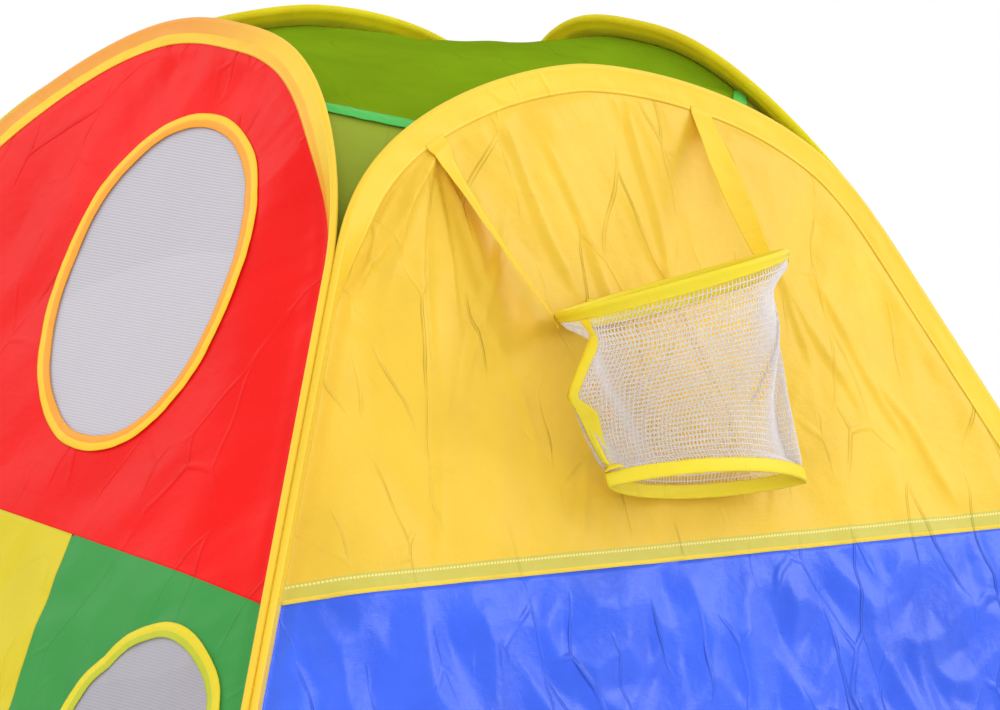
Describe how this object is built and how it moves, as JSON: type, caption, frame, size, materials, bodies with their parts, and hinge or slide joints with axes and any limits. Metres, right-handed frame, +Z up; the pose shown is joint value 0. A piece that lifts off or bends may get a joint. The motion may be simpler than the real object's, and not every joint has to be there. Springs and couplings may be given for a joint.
{
  "type": "play tent",
  "caption": "Pop-up play tent with four leaning cloth walls on sprung wire hoops, cloth roof, mesh windows, a crawl door and a ball hoop with a net on its front wall.",
  "frame": {"origin": "middle of the floor sheet's underside, on the ground", "axes": "+Z up, the front wall with the hoop net faces -Y, +X to the right as seen from in front, the crawl door is in the +Y wall"},
  "size_m": [1.2852, 1.0778, 0.7334],
  "materials": {
    "spring_steel": "bright drawn spring wire and crimped ferrules",
    "net_cord": "white knotless square net",
    "window_mesh": "fine grey-lilac insect mesh",
    "bright_yellow_tape": "bright yellow folded polyester tape, semi-gloss",
    "yellow_tape": "yellow polyester tape, semi-gloss, puckered by its stitching",
    "green_tape": "green seam tape",
    "gusset_cloth": "translucent green taffeta",
    "roof_cloth": "translucent green taffeta",
    "red_cloth": "red creased polyester taffeta, glossy",
    "green_cloth": "green creased polyester taffeta, glossy",
    "blue_cloth": "blue creased polyester taffeta, glossy",
    "olive_cloth": "seam allowance seen through the cloth",
    "yellow_cloth": "yellow creased polyester taffeta, glossy"
  },
  "bodies": {
    "tent": {"back_casing": "yellow_tape", "back_hoop_ferrule": "spring_steel", "back_hoop_wire": "spring_steel", "back_lower_cloth": "red_cloth", "back_seam_strip_left": "green_cloth", "back_seam_strip_right": "green_cloth", "back_upper_cloth": "green_cloth", "door_binding": "yellow_tape", "floor_sheet": "blue_cloth", "front_casing": "yellow_tape", "front_hoop_ferrule": "spring_steel", "front_hoop_wire": "spring_steel", "front_lower_cloth": "blue_cloth", "front_seam_strip": "olive_cloth", "front_upper_cloth": "yellow_cloth", "gusset_back_left": "gusset_cloth", "gusset_back_right": "gusset_cloth", "gusset_front_left": "gusset_cloth", "gusset_front_right": "gusset_cloth", "hoop_back_tab": "yellow_cloth", "left_casing": "yellow_tape", "left_hoop_ferrule": "spring_steel", "left_hoop_wire": "spring_steel", "left_low_window_binding": "bright_yellow_tape", "left_low_window_mesh": "window_mesh", "left_lower_back_cloth": "green_cloth", "left_lower_front_cloth": "green_cloth", "left_lower_middle_cloth": "yellow_tape", "left_seam_strip": "red_cloth", "left_strap": "yellow_cloth", "left_upper_cloth": "red_cloth", "left_window_binding": "yellow_tape", "left_window_mesh": "window_mesh", "right_casing": "yellow_tape", "right_hoop_ferrule": "spring_steel", "right_hoop_wire": "spring_steel", "right_lower_cloth": "yellow_cloth", "right_seam_strip": "olive_cloth", "right_strap": "yellow_cloth", "right_upper_cloth": "blue_cloth", "right_window_binding": "yellow_tape", "right_window_mesh": "window_mesh", "roof_tape_back_left": "green_tape", "roof_tape_back_right": "green_tape", "roof_tape_front_left": "green_tape", "roof_tape_front_right": "green_tape", "roof_top": "roof_cloth"},
    "hoop": {"rim_wire": "spring_steel", "rim_sleeve": "bright_yellow_tape", "net_bag": "net_cord", "net_side_tape": "bright_yellow_tape"},
    "net": {"net_hem": "bright_yellow_tape"}
  },
  "joints": [
    {"name": "hoop_lift", "type": "hinge", "parent": "tent", "child": "hoop", "pos_m": [-0.045, -0.25952, 0.55285], "axis": [-0.9833, 0, -0.1822], "range_deg": [0, 75], "deforming": ["left_strap", "right_strap"]},
    {"name": "net_follow", "type": "hinge", "parent": "hoop", "child": "net", "pos_m": [-0.0505, -0.34379, 0.5825], "axis": [-0.9833, 0, -0.1822], "range_deg": [-45, 0], "deforming": ["net_bag", "net_side_tape"]}
  ],
  "couplings": [
    {"joint": "net_follow", "follows": "hoop_lift", "ratio": -0.6}
  ]
}
